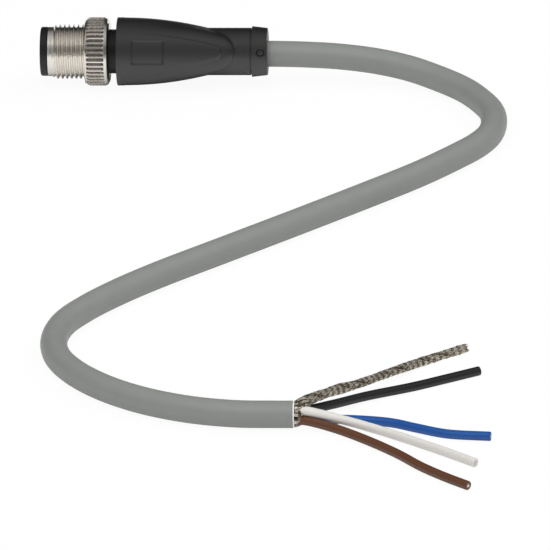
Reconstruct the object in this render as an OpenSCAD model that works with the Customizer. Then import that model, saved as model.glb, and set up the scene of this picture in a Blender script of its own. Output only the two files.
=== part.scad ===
// Straight male M12 plug, shielded, four contacts, with a moulded grip and a cable
// stripped at its far end. X runs along the plug, from the mating face to the cable.
// Z is up. The origin is the centre of the mating face.

/* [Contact carrier] */
// Outside diameter of the lip that holds the coupling screw
lip_d = 10.75; // [10.3:0.05:11]
// Length of the lip
lip_len = 1.5; // [1.2:0.1:2.2]
// Rounding of the lip's front edge
lip_round = 0.4; // [0.2:0.1:0.6]
// Wall of the shroud round the contacts
shroud_wall = 0.35; // [0.3:0.05:0.6]
// Depth of the shroud's socket
socket_depth = 8.5; // [7.5:0.1:9]
// Thickness of the floor between the socket and the shield sleeve
floor_len = 0.7; // [0.5:0.1:1.2]
// Length of the hub behind that floor, inside the shield sleeve
hub_len = 5.3; // [4.5:0.1:5.8]
// Width of the coding rib in the socket
rib_w = 1.1; // [0.9:0.05:1.3]
// Height of the coding rib
rib_h = 0.7; // [0.5:0.05:0.9]

/* [Contacts] */
// Number of contact pins
pins = 4; // [3:1:5]
// Diameter of a contact pin
pin_d = 1.0; // [0.8:0.05:1.1]
// Diameter of the circle that the pins stand on
pin_circle_d = 5.0; // [4.7:0.1:5.3]
// Depth of the pins' tips behind the mating face
pin_recess = 1.2; // [0.8:0.1:2]
// Diameter of a pin's shank, where the carrier holds it
pin_shank_d = 1.25; // [1.15:0.05:1.3]
// Diameter of the collar that holds a pin in the hub
pin_collar_d = 1.6; // [1.4:0.05:1.8]
// Length of that collar
pin_collar_len = 1.2; // [0.8:0.1:1.6]
// Outside diameter of a solder cup
cup_d = 1.6; // [1.4:0.05:1.8]
// Wall of a solder cup
cup_wall = 0.3; // [0.2:0.05:0.4]
// Length of a solder cup
cup_len = 3.2; // [2.6:0.1:3.6]
// Depth of a solder cup's bore
cup_depth = 2.4; // [1.6:0.1:2.5]

/* [Coupling screw] */
// Gap between the screw's bore and the shroud inside it
screw_gap = 0.15; // [0.1:0.05:0.2]
// Wall between the screw's bore and the outside of its plain lead
lead_wall = 0.625; // [0.5:0.025:0.8]
// Length of the plain lead in front of the thread
lead_len = 1.75; // [1:0.05:2]
// Outside diameter of the thread
thread_d = 12; // [12:0.1:12.4]
// Length of the thread
thread_len = 6.45; // [5:0.05:8]
// Width of the chamfer where the thread starts
thread_chamfer = 0.4; // [0.2:0.05:0.5]
// Outside diameter of the knurled ring
knurl_d = 15.0; // [14.5:0.1:16]
// Length of the knurled ring
knurl_len = 5.35; // [5:0.05:7]
// Height of the chamfer at the ring's front
front_chamfer_h = 0.6; // [0.4:0.05:0.9]
// Length of the front chamfer
front_chamfer_len = 1.05; // [0.8:0.05:1.3]
// Length of the sloping rim behind the grooves
rear_rim_len = 0.6; // [0.4:0.05:1]
// Fall of that rim
rear_rim_fall = 0.25; // [0.1:0.05:0.4]
// Length of the steep chamfer at the ring's rear
rear_chamfer_len = 0.4; // [0.3:0.05:0.8]
// Height of the rear chamfer
rear_chamfer_h = 0.65; // [0.4:0.05:0.8]
// Number of ridges on the ring
ridges = 44; // [36:2:52]
// Width of the groove between two ridges
groove_w = 0.7; // [0.5:0.02:0.8]
// Depth of a groove
groove_depth = 0.44; // [0.2:0.02:0.5]
// Distance of the grooves' front points behind the ring's front
front_rim = 0.55; // [0.3:0.05:0.8]
// Distance of the grooves' rear points in front of the sloping rim
rear_flat = 0.1; // [0.1:0.05:0.4]
// Play of the screw along the plug
screw_play = 1.7; // [1.2:0.05:1.8]
// Depth of the recess that takes the grip's neck
neck_recess = 2.0; // [1.9:0.05:2.1]

/* [Contact ring] */
// Distance of the ring behind the front of the knurled ring
ring_back = 2.1; // [1.6:0.1:2.3]
// Width of the contact ring
ring_w = 0.9; // [0.6:0.05:1]
// Thickness of the contact ring
ring_t = 0.6; // [0.4:0.05:0.7]
// Width of the slit in the contact ring
ring_slit = 1.2; // [0.8:0.1:2]
// Running clearance round the contact ring
ring_gap = 0.05; // [0.03:0.01:0.08]

/* [Shield] */
// Wall of the shield sleeve round the hub
sleeve_wall = 0.6; // [0.5:0.05:0.7]
// Wall of the shield sleeve round the solder cups
sleeve_back_wall = 0.5; // [0.4:0.05:0.6]
// Distance by which the sleeve is narrower inside the grip
sleeve_step = 0.45; // [0.4:0.05:0.5]
// Length of the sleeve's wide part inside the grip
sleeve_back_len = 6.8; // [6:0.1:8]
// Length of the cone behind it
sleeve_cone_len = 4; // [3:0.1:5]
// Length of the tail that the screen is crimped on
tail_len = 5; // [4:0.1:6]
// Radial room for the four wires inside the tail
tail_room = 0.03; // [0.02:0.01:0.1]
// Wall of the tail
tail_wall = 0.3; // [0.2:0.05:0.35]
// Thickness of the spread screen on the tail
braid_t = 0.3; // [0.2:0.02:0.3]
// Length of the screen between the tail and the jacket
braid_lead = 1.5; // [1:0.1:2]
// Length of the crimp ferrule
ferrule_len = 4; // [3:0.1:4.2]
// Wall of the crimp ferrule
ferrule_wall = 0.6; // [0.4:0.05:0.8]
// Depth of the two crimped rings in the ferrule
crimp_depth = 0.2; // [0.1:0.05:0.3]

/* [Grip] */
// Diameter of the neck between the screw and the grip
neck_d = 9.67; // [9.6:0.01:9.7]
// Length of the neck that stands inside the screw
neck_overlap = 0.2; // [0.1:0.05:0.22]
// Largest diameter of the grip
grip_d = 14.84; // [14.2:0.02:15]
// Rounding of the grip's front edge
grip_round = 0.2; // [0.1:0.05:0.8]
// Length of the straight front of the grip
grip_straight = 1.6; // [1:0.05:3]
// Length over which the grip narrows
taper_len = 18.1; // [15:0.05:20]
// Diameter of the grip's rear barrel
barrel_d = 10.39; // [9.8:0.01:11]
// Length of the rear barrel
barrel_len = 9.8; // [9:0.05:14]
// Height of the collar's front step above the barrel
collar_step = 0.36; // [0.2:0.02:0.6]
// Length of the collar
collar_len = 3.4; // [2.8:0.1:5]
// Fall of the collar's outside towards the cable
collar_fall = 0.38; // [0.2:0.02:0.6]
// Turn of the grip about the plug's axis as it lies
roll = 21; // [0:1:45]

/* [Arches on the grip] */
// Distance that the outer arch runs on past the taper
outer_reach = 6.4; // [5:0.05:7]
// Radius of the outer arch's round nose
outer_nose_r = 4.25; // [3.5:0.05:4.6]
// Distance of the outer arch's flanks inside the grip's own outline
outer_inset = 0.15; // [0.1:0.05:0.4]
// Depth at which the outer arch's face starts under the grip's surface
outer_start = 0.1; // [0.05:0.01:0.2]
// Fall of the outer arch's face over its length
outer_fall = 1.0; // [0.8:0.05:1.2]
// Length of the rounded drop at the outer arch's nose
outer_drop_len = 1.7; // [1:0.1:2.2]
// Height of that drop
outer_drop = 0.85; // [0.5:0.05:1]
// Half the width of the inner arch at the grip's front
inner_half_w = 4.75; // [4:0.05:5.2]
// Radius of the inner arch's flanks
inner_flank_r = 78; // [70:1:120]
// Distance of the inner arch's nose in front of the outer one
inner_back = 3.0; // [2.2:0.1:3.6]
// Radius of the inner arch's round nose
inner_nose_r = 1.6; // [1.2:0.05:2]
// Depth at which the inner arch's face starts under the grip's surface
inner_start = 0.03; // [0.02:0.01:0.04]
// Fall of the inner arch's face over its length
inner_fall = 0.4; // [0.2:0.05:0.5]
// Length of the rounded drop at the inner arch's nose
inner_drop_len = 0.9; // [0.5:0.1:1.5]
// Height of that drop
inner_drop = 0.35; // [0.2:0.05:0.4]

/* [Bare recess and mould mark] */
// Length of the bare recess on the front arch
recess_len = 7.2; // [5:0.1:8]
// Width of the recess
recess_w = 5.4; // [4:0.05:6]
// Depth of the recess
recess_depth = 0.3; // [0.25:0.05:0.4]
// Distance of the recess behind the straight front
recess_back = 1.7; // [1:0.1:3]
// Radius of the recess's corners
recess_r = 0.6; // [0.3:0.05:1]
// Outside diameter of the round mould mark on the collar
mark_d = 1.9; // [1.4:0.1:2.4]
// Distance of the mould mark's middle behind the collar's front
mark_back = 2.0; // [1.6:0.1:2.2]
// Width of the mould mark's ring
mark_ring = 0.35; // [0.2:0.05:0.5]
// Depth of the mould mark's ring
mark_depth = 0.25; // [0.1:0.05:0.35]

/* [Cable] */
// Outside diameter of the cable
cable_d = 5.7; // [5.6:0.05:6.2]
// Distance of the cable's exit under the middle of the collar
cable_drop = 0.55; // [0:0.05:0.7]
// Outside diameter of a wire
core_d = 1.95; // [1.5:0.05:2]
// Diameter of a wire's copper
copper_d = 0.9; // [0.6:0.05:0.95]
// Diameter of the gathered screen
pigtail_d = 1.6; // [1.2:0.1:1.6]

/* [Hidden] */
$fn = 96;

// Colours
nickel = "#b9b4a8";
gold = "#c9a24a";
carrier_black = "#1c1c1f";
grip_black = "#3a3a3c";
jacket_grey = "#8f9493";
tinned = "#8a7f68";
wire_brown = "#6f4232";
wire_white = "#dedad2";
wire_blue = "#1f5fb5";
wire_black = "#26282a";

eps = 0.01; // extra length of a cutting shape past a face
big = 40; // larger than any section of the plug

// Stations along X
face_gap = 0.05; // between the lip and the screw behind it
screw_x = lip_len + face_gap;
thread_x = screw_x + lead_len;
knurl_x = thread_x + thread_len;
screw_end = knurl_x + knurl_len;
grip_x = screw_end + screw_play;
taper_x = grip_x + grip_straight;
barrel_x = taper_x + taper_len;
collar_x = barrel_x + barrel_len;
plug_end = collar_x + collar_len;
rim_x = screw_end - rear_chamfer_len - rear_rim_len;
groove_end = rim_x - rear_flat;
hub_x = socket_depth + floor_len;
hub_end = hub_x + hub_len;
neck_x = screw_end - neck_overlap;
cone_x = neck_x + sleeve_back_len;
tail_x = cone_x + sleeve_cone_len;
tail_end = tail_x + tail_len;
jacket_x = tail_end + braid_lead;
ferrule_x = tail_x + (tail_len - ferrule_len) / 2 + braid_lead / 2;
cup_end = hub_end + cup_len;

// Radii
lip_r = lip_d / 2;
bore_r = lip_r + face_gap - lead_wall;
shroud_r = bore_r - screw_gap;
socket_r = shroud_r - shroud_wall;
hub_r = shroud_r - sleeve_wall;
lead_r = bore_r + lead_wall;
knurl_r = knurl_d / 2;
front_r = knurl_r - front_chamfer_h;
rim_r = knurl_r - rear_rim_fall;
neck_r = neck_d / 2;
recess_bore_r = neck_r + screw_gap;
sleeve_back_r = shroud_r - sleeve_step;
bundle_r = core_d / 2 * (1 + 1 / sin(180 / pins));
tail_bore_r = bundle_r + tail_room;
tail_r = tail_bore_r + tail_wall;
braid_r = tail_r + braid_t;
grip_r = grip_d / 2;
barrel_r = barrel_d / 2;
cable_r = cable_d / 2;
pin_circle_r = pin_circle_d / 2;
core_circle_r = bundle_r - core_d / 2;

// Radius of an arc that starts level and falls by drop over run
function arc_r(run, drop) = (run * run + drop * drop) / (2 * drop);

// Points of an arc that starts level at [x, y] and falls by drop over run
function falling_arc(x, y, run, drop, steps) =
  let (r = arc_r(run, drop), turn = asin(run / r))
  [for (i = [0 : steps]) [x + r * sin(turn * i / steps), y - r * (1 - cos(turn * i / steps))]];

// A profile of [x, radius] points, spun about the X axis
module spin() {
  rotate([90, 0, 90]) rotate_extrude() children();
}

// The band between two radii, from x0 to x1, for spin()
module band(x0, x1, r0, r1) {
  polygon([[r0, x0], [r1, x0], [r1, x1], [r0, x1]]);
}

// Turn about X that sets the arches and the coding rib as the plug lies
module as_it_lies() {
  rotate([-roll, 0, 0]) children();
}

// ---- cords: tubes swept along their routes

// The cable's route from the ferrule to its stripped end
cable_route = [
  [jacket_x, 0, -cable_drop], [plug_end - 1, 0, -cable_drop], [plug_end + 1, 0, -cable_drop],
  [57.7, -0.2, -0.62], [65.7, -0.3, -1.08], [73.7, -0.5, -2.1], [80.7, -1.6, -3.3],
  [86.9, -4.7, -4.2], [92.8, -9.8, -4.6], [96.8, -15.8, -4.65], [99.4, -21.8, -4.65],
  [100.1, -27.8, -4.65], [99.3, -33.8, -4.65], [96.9, -39.1, -4.65], [92.9, -44.6, -4.65],
  [84.9, -54.1, -4.65], [74.9, -64.2, -4.65], [59.9, -78.8, -4.65], [44.9, -93.1, -4.65],
  [31.9, -105.5, -4.65], [23.9, -114.1, -4.65], [17.5, -122.4, -4.65], [13.4, -129.8, -4.65],
  [11.9, -137.8, -4.65], [13.1, -145.8, -4.65], [16.9, -153.2, -4.65], [23.4, -160.6, -4.65],
  [31.9, -166.8, -4.65], [41.9, -171.2, -4.65], [51.9, -173.3, -4.65], [59.9, -173.5, -4.65],
  [64.05, -173.5, -4.65]
];

// The free wires' routes from the stripped end
brown_route = [
  [64.05, -174.85, -5.4], [66.05, -174.85, -5.4], [72.35, -177.4, -5.9], [79.15, -181.9, -6.4],
  [85.85, -188.15, -6.52], [91.15, -194.3, -6.52], [96.15, -199.05, -6.52], [101.05, -203.1, -6.52]
];
white_route = [
  [64.05, -174.05, -3.55], [66.05, -174.05, -3.55], [73.85, -175.6, -4.8], [82.15, -178, -6.2],
  [88.85, -182.1, -6.52], [95.75, -187.3, -6.52], [102.15, -192.4, -6.52]
];
blue_route = [
  [64.05, -173, -6.1], [66.05, -173, -6.1], [75.35, -172.3, -6.4], [83.85, -173.45, -6.52],
  [89.35, -176, -6.52], [95.65, -178.7, -6.52], [104.85, -179.85, -6.52]
];
black_route = [
  [64.05, -172.03, -4.38], [66.05, -172.03, -4.38], [71.35, -167.5, -5.3], [78.25, -161.5, -6.2],
  [87.85, -156.2, -6.52], [94.35, -152.5, -6.52], [101.35, -148.4, -6.52]
];
pigtail_route = [
  [64.05, -172.3, -2.55], [66.05, -172.3, -2.55], [70.45, -168.2, -2.3], [76.85, -160.4, -3.8],
  [84.25, -150.1, -5.6], [90.75, -142.7, -6.6], [98.45, -136.9, -6.6]
];

function unit(v) = v / norm(v);

// Direction of a route at point i
function heading(route, i) =
  unit(route[min(i + 1, len(route) - 1)] - route[max(i - 1, 0)]);

// One ring of points round a route at point i
function ring(route, i, r, sides) =
  let (
    along = heading(route, i),
    side = unit(cross([0, 0, 1], along)),
    up = cross(along, side)
  )
  [for (k = [0 : sides - 1])
    route[i] + r * (cos(360 * k / sides) * side + sin(360 * k / sides) * up)];

// A closed tube of radius r along a route
module tube(route, r, sides) {
  rings = len(route);
  corners = [for (i = [0 : rings - 1]) each ring(route, i, r, sides)];
  walls = [
    for (i = [0 : rings - 2]) for (k = [0 : sides - 1])
      let (a = i * sides + k, b = i * sides + (k + 1) % sides)
      each [[a, a + sides, b], [b, a + sides, b + sides]]
  ];
  first_end = [for (k = [0 : sides - 1]) k];
  last_end = [for (k = [0 : sides - 1]) rings * sides - 1 - k];
  polyhedron(corners, concat([first_end, last_end], walls));
}

module cable() {
  color(jacket_grey) tube(cable_route, cable_r, 12);
}

module lead_brown() {
  color(wire_brown) tube(brown_route, core_d / 2, 8);
}

module lead_white() {
  color(wire_white) tube(white_route, core_d / 2, 8);
}

module lead_blue() {
  color(wire_blue) tube(blue_route, core_d / 2, 8);
}

module lead_black() {
  color(wire_black) tube(black_route, core_d / 2, 8);
}

module braid_pigtail() {
  color(tinned) tube(pigtail_route, pigtail_d / 2, 8);
}

// ---- contacts and their carrier

// Angle of a pin about X, with the coding rib midway between the first and the last
function pin_angle(i) = 90 + 360 * (i + 0.5) / pins;

// Sets a piece at the place of one pin
module at_pin(i) {
  as_it_lies() rotate([pin_angle(i), 0, 0]) translate([0, pin_circle_r, 0]) children();
}

// Outline of a pin: round tip, shank with a holding collar, and solder cup
module pin_outline() {
  tip_r = pin_d / 2;
  collar_x0 = hub_x + (hub_len - pin_collar_len) / 2;
  translate([0, pin_recess + tip_r]) intersection() {
    circle(tip_r, $fn = 48);
    translate([0, -tip_r]) square([tip_r, 2 * tip_r]);
  }
  band(pin_recess + tip_r, socket_depth, 0, tip_r);
  band(socket_depth, hub_end, 0, pin_shank_d / 2);
  band(collar_x0, collar_x0 + pin_collar_len, 0, pin_collar_d / 2);
  band(hub_end, cup_end, 0, cup_d / 2);
}

module contact_pin(i) {
  color(gold) at_pin(i) difference() {
    spin() pin_outline();
    spin() band(cup_end - cup_depth, cup_end + eps, 0, cup_d / 2 - cup_wall);
  }
}

module contact_carrier() {
  color(carrier_black) difference() {
    union() {
      spin() difference() {
        union() {
          band(lip_round, lip_len, 0, lip_r);
          band(0, lip_round, 0, lip_r - lip_round);
          translate([lip_r - lip_round, lip_round]) circle(lip_round, $fn = 48);
          band(lip_len, hub_x, 0, shroud_r);
          band(hub_x, hub_end, 0, hub_r);
        }
        translate([0, -eps]) square([socket_r, socket_depth + eps]);
        translate([-big, -big]) square([big, 2 * big]);
      }
      coding_rib();
    }
    for (i = [0 : pins - 1]) {
      at_pin(i) spin() pin_outline();
    }
  }
}

// Rib in the socket that fits the mating plug's slot
module coding_rib() {
  as_it_lies() intersection() {
    translate([pin_recess, -rib_w / 2, socket_r - rib_h])
      cube([socket_depth - pin_recess, rib_w, rib_h + shroud_wall / 2]);
    spin() band(0, hub_x, 0, socket_r + shroud_wall / 2);
  }
}

// ---- coupling screw and the contact ring inside it

// Outside of the screw, from the plain lead to the rear chamfer
module screw_profile() {
  polygon([
    [0, screw_x], [lead_r, screw_x], [lead_r, thread_x],
    [thread_d / 2 - thread_chamfer, thread_x], [thread_d / 2, thread_x + thread_chamfer],
    [thread_d / 2, knurl_x], [front_r, knurl_x], [knurl_r, knurl_x + front_chamfer_len],
    [knurl_r, rim_x], [rim_r, screw_end - rear_chamfer_len],
    [rim_r - rear_chamfer_h, screw_end], [0, screw_end]
  ]);
}

// Bore of the screw, with the contact ring's groove and the neck's recess
module screw_bore() {
  ring_x = knurl_x + ring_back;
  band(screw_x - eps, screw_end, 0, bore_r);
  band(ring_x - ring_gap, ring_x + ring_w + ring_gap, 0, ring_seat_r);
  band(screw_end - neck_recess, screw_end + eps, 0, recess_bore_r);
}

ring_seat_r = shroud_r + ring_gap + ring_t + ring_gap;

// One groove of the knurl, with pointed ends
module knurl_groove() {
  start = knurl_x + front_rim;
  point = groove_w / 2;
  translate([0, 0, knurl_r - groove_depth]) linear_extrude(2 * groove_depth)
    polygon([
      [start, 0], [start + point, point], [groove_end - point, point],
      [groove_end, 0], [groove_end - point, -point], [start + point, -point]
    ]);
}

module coupling_screw() {
  half_pitch = 180 / ridges;
  color(nickel) difference() {
    spin() difference() {
      screw_profile();
      screw_bore();
    }
    for (i = [0 : ridges - 1]) {
      rotate([half_pitch * (2 * i + 1), 0, 0]) knurl_groove();
    }
  }
}

module contact_ring() {
  ring_x = knurl_x + ring_back;
  inner_r = shroud_r + ring_gap;
  color(nickel) difference() {
    spin() band(ring_x, ring_x + ring_w, inner_r, inner_r + ring_t);
    translate([ring_x - eps, -ring_slit / 2, 0]) cube([ring_w + 2 * eps, ring_slit, big]);
  }
}

// ---- shield and crimp

// Outside of the shield sleeve
module sleeve_outline() {
  polygon([
    [0, hub_x], [shroud_r, hub_x], [shroud_r, neck_x], [sleeve_back_r, neck_x],
    [sleeve_back_r, cone_x], [tail_r, tail_x], [tail_r, tail_end], [0, tail_end]
  ]);
}

module shield_sleeve() {
  back_bore_r = sleeve_back_r - sleeve_back_wall;
  color(nickel) spin() difference() {
    sleeve_outline();
    polygon([
      [0, hub_x - eps], [hub_r, hub_x - eps], [hub_r, hub_end], [back_bore_r, hub_end],
      [back_bore_r, cone_x], [tail_bore_r, tail_x], [tail_bore_r, tail_end + eps],
      [0, tail_end + eps]
    ]);
  }
}

module braid_cuff() {
  color(tinned) spin() band(tail_x, jacket_x, tail_r, braid_r);
}

// Outside of the ferrule, with two crimped rings
module ferrule_outline() {
  outer_r = braid_r + ferrule_wall;
  crimp_len = ferrule_len / 5;
  difference() {
    band(ferrule_x, ferrule_x + ferrule_len, 0, outer_r);
    for (i = [1, 3]) {
      band(ferrule_x + i * crimp_len, ferrule_x + (i + 1) * crimp_len, outer_r - crimp_depth, big);
    }
  }
}

module crimp_ferrule() {
  color(nickel) spin() difference() {
    ferrule_outline();
    band(0, big, 0, braid_r);
  }
}

// ---- the wires' inner ends

// Route of a wire from its solder cup to the cable's jacket, in the plane of its pin
core_route = [
  [cup_end, pin_circle_r, 0], [cup_end + 1.5, pin_circle_r, 0],
  [cone_x, (pin_circle_r + core_circle_r) / 2, 0],
  [tail_x - 0.5, core_circle_r, 0], [jacket_x, core_circle_r, 0]
];

module core(i, hue) {
  color(hue) as_it_lies() rotate([pin_angle(i), 0, 0]) {
    tube(core_route, core_d / 2, 8);
    translate([0, pin_circle_r, 0])
      spin() band(cup_end - cup_depth, cup_end + eps, 0, copper_d / 2);
  }
}

// ---- moulded grip

// Neck, straight front, taper, barrel and collar as one profile
module grip_profile() {
  collar_r = barrel_r + collar_step;
  polygon(concat(
    [[neck_x, 0], [neck_x, neck_r], [grip_x, neck_r], [grip_x, grip_r - grip_round],
     [grip_x + grip_round, grip_r]],
    falling_arc(taper_x, grip_r, taper_len, grip_r - barrel_r, 12),
    [[collar_x, barrel_r], [collar_x, collar_r], [plug_end, collar_r - collar_fall], [plug_end, 0]]
  ));
}

// Profile of an arch's face: a long level-starting fall, then a rounded drop at the nose
module face_profile(start, fall, nose_x, drop_len, drop) {
  run = nose_x - drop_len - taper_x;
  edge_r = grip_r - start - fall;
  past = 1;
  polygon(concat(
    [[taper_x, 0]],
    falling_arc(taper_x, grip_r - start, run, fall, 6),
    [for (a = [15 : 15 : 90]) [taper_x + run + drop_len * sin(a), edge_r - drop * (1 - cos(a))]],
    [[nose_x + past, edge_r - drop], [nose_x + past, 0]]
  ));
}

// Spins a profile given as [x, radius]
module spin_profile() {
  spin() mirror([1, -1]) children();
}

// Outline of an arch: level-starting flanks, tangent lines and a round nose
module arch_outline(x0, half_w, flank_r, flank_len, nose_x, nose_r) {
  flank = falling_arc(x0, half_w, flank_len, flank_r - sqrt(flank_r ^ 2 - flank_len ^ 2), 8);
  flank_end = flank[len(flank) - 1];
  centre_x = nose_x - nose_r;
  ahead = centre_x - flank_end[0];
  lean = asin(nose_r / norm([ahead, flank_end[1]])) - atan2(flank_end[1], ahead);
  steps = 8;
  nose = [
    for (i = [0 : steps])
      let (a = (90 + lean) * (1 - i / steps))
      [centre_x + nose_r * cos(a), nose_r * sin(a)]
  ];
  upper = concat(flank, nose);
  lower = [for (i = [len(upper) - 2 : -1 : 0]) [upper[i][0], -upper[i][1]]];
  polygon(concat(upper, lower));
}

// An outline carried through the grip from front to back
module through_grip() {
  rotate([90, 0, 0]) linear_extrude(big, center = true) children();
}

outer_nose_x = barrel_x + outer_reach;
inner_nose_x = outer_nose_x - inner_back;

module outer_arch() {
  flank_r = arc_r(taper_len, grip_r - barrel_r);
  intersection() {
    spin_profile() face_profile(outer_start, outer_fall, outer_nose_x, outer_drop_len, outer_drop);
    through_grip()
      arch_outline(taper_x, grip_r - outer_inset, flank_r, taper_len, outer_nose_x, outer_nose_r);
  }
}

module inner_arch() {
  flank_len = inner_nose_x - 2 * inner_nose_r - grip_x;
  intersection() {
    spin_profile() face_profile(inner_start, inner_fall, inner_nose_x, inner_drop_len, inner_drop);
    through_grip()
      arch_outline(grip_x, inner_half_w, inner_flank_r, flank_len, inner_nose_x, inner_nose_r);
  }
}

// A rectangle with round corners, its near end on the origin
module round_rectangle(length, width, r) {
  translate([r, -width / 2]) square([length - 2 * r, width]);
  translate([0, r - width / 2]) square([length, width - 2 * r]);
  for (x = [r, length - r], y = [-1, 1]) {
    translate([x, y * (width / 2 - r)]) circle(r, $fn = 48);
  }
}

// Recess with round corners, sunk in the front arch
module bare_recess() {
  sink_r = grip_r - recess_depth;
  x0 = taper_x + recess_back;
  difference() {
    rotate([90, 0, 0]) linear_extrude(big)
      translate([x0, 0]) round_rectangle(recess_len, recess_w, recess_r);
    spin() band(x0 - 1, x0 + recess_len + 1, 0, sink_r);
  }
}

// Round mark left by the mould on the front of the collar
module mould_mark() {
  floor_r = barrel_r + collar_step - collar_fall * mark_back / collar_len - mark_depth;
  translate([collar_x + mark_back, -floor_r, 0]) rotate([90, 0, 0]) difference() {
    cylinder(d = mark_d, h = 2, $fn = 48);
    translate([0, 0, -eps]) cylinder(d = mark_d - 2 * mark_ring, h = 2 + 2 * eps, $fn = 48);
  }
}

module grip_body() {
  color(grip_black) difference() {
    as_it_lies() difference() {
      union() {
        spin_profile() grip_profile();
        outer_arch();
        inner_arch();
      }
      bare_recess();
      mould_mark();
    }
    spin() {
      sleeve_outline();
      band(tail_x, jacket_x, 0, braid_r);
      ferrule_outline();
    }
    translate([0, 0, -cable_drop]) spin() band(jacket_x - eps, plug_end + eps, 0, cable_r);
  }
}

coupling_screw();
contact_ring();
contact_carrier();
contact_pin(0);  // contact_pin_1
contact_pin(1);  // contact_pin_2
contact_pin(2);  // contact_pin_3
contact_pin(3);  // contact_pin_4
shield_sleeve();
braid_cuff();
crimp_ferrule();
grip_body();
core(0, wire_brown);  // core_brown
core(1, wire_white);  // core_white
core(2, wire_blue);  // core_blue
core(3, wire_black);  // core_black
cable();
lead_brown();
lead_white();
lead_blue();
lead_black();
braid_pigtail();
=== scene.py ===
import math

import bmesh
import bpy
import numpy as np
from mathutils import Matrix, Vector


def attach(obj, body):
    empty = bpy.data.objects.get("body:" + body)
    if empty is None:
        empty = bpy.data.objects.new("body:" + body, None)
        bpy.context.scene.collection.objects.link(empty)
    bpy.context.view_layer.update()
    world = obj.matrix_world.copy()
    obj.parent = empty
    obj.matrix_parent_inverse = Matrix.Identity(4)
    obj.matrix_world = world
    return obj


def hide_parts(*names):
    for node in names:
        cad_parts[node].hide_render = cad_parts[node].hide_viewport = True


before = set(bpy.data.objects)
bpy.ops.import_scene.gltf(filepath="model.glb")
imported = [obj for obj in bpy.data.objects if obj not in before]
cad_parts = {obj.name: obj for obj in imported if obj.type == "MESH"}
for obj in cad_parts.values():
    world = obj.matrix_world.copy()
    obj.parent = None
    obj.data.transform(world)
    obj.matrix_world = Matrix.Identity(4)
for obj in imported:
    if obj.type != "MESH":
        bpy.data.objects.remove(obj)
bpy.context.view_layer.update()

mm = 0.001  # one millimetre in metres


# small helpers

def toLinear(hexValue):
    # an sRGB hex colour as the linear colour that a node socket takes
    parts = [int(hexValue[i:i + 2], 16) / 255 for i in (1, 3, 5)]
    return [c / 12.92 if c <= 0.04045 else ((c + 0.055) / 1.055) ** 2.4 for c in parts] + [1.0]


def addNode(tree, kind, settings=None, links=None):
    # a key is an input's name or number where the node has one, and else a property
    node = tree.nodes.new(kind)
    for key, value in (settings or {}).items():
        if isinstance(key, int) or key in node.inputs:
            node.inputs[key].default_value = value
        else:
            setattr(node, key, value)
    for key, source in (links or {}).items():
        tree.links.new(source, node.inputs[key])
    return node


def newMaterial(name):
    material = bpy.data.materials.new(name)
    material.use_nodes = True
    material.node_tree.nodes.clear()
    return material, material.node_tree


def finishMaterial(tree, shader):
    addNode(tree, "ShaderNodeOutputMaterial", links={"Surface": shader.outputs[0]})


def unit(v):
    return v / np.linalg.norm(v)


def meshObject(name, points, faces, materials, faceMaterial=None, sharp=35, merge=None):
    # points in millimetres; faceMaterial gives each face's material number
    mesh = bpy.data.meshes.new(name)
    mesh.from_pydata([[float(c) * mm for c in p] for p in points], [], faces)
    if faceMaterial is not None:
        mesh.polygons.foreach_set("material_index", faceMaterial)
    for material in materials:
        mesh.materials.append(material)
    work = bmesh.new()
    work.from_mesh(mesh)
    if merge:
        bmesh.ops.remove_doubles(work, verts=work.verts, dist=merge * mm)
    bmesh.ops.recalc_face_normals(work, faces=work.faces)
    work.to_mesh(mesh)
    work.free()
    mesh.polygons.foreach_set("use_smooth", [True] * len(mesh.polygons))
    mesh.set_sharp_from_angle(angle=math.radians(sharp))
    thing = bpy.data.objects.new(name, mesh)
    bpy.context.scene.collection.objects.link(thing)
    return thing


def gridFaces(rows, columns, start=0, closed=True):
    # quads between rows of points that go round a piece
    faces = []
    for i in range(rows - 1):
        for j in range(columns if closed else columns - 1):
            a = start + i * columns + j
            b = start + i * columns + (j + 1) % columns
            faces.append((a, b, b + columns, a + columns))
    return faces


# camera, level with the plug's axis

# angles in degrees, the rest in millimetres; viewWidth is what the picture takes in at the part
cameraSet = {"azimuth": 3.5, "elevation": 25, "roll": -1.373, "location": (206.2, -2552.28, 1138.42),
             "distance": 2800, "viewWidth": 120.35, "sensor": 36, "clip": (0.1, 60)}


def makeCamera(s):
    a, e, roll = (math.radians(s[k]) for k in ("azimuth", "elevation", "roll"))
    back = Vector((math.sin(a) * math.cos(e), -math.cos(a) * math.cos(e), math.sin(e)))
    right = Vector((math.cos(a), math.sin(a), 0))
    up = back.cross(right)
    sideways = math.cos(roll) * right + math.sin(roll) * up
    upwards = math.cos(roll) * up - math.sin(roll) * right
    data = bpy.data.cameras.new("camera")
    data.sensor_width = s["sensor"]
    data.lens = s["sensor"] * s["distance"] / s["viewWidth"]
    data.clip_start, data.clip_end = s["clip"]  # metres
    camera = bpy.data.objects.new("camera", data)
    turn = Matrix((sideways, upwards, back)).transposed().to_4x4()
    camera.matrix_world = Matrix.Translation(Vector(s["location"]) * mm) @ turn
    bpy.context.scene.collection.objects.link(camera)
    bpy.context.scene.camera = camera


makeCamera(cameraSet)
print("camera set")


# materials

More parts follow.
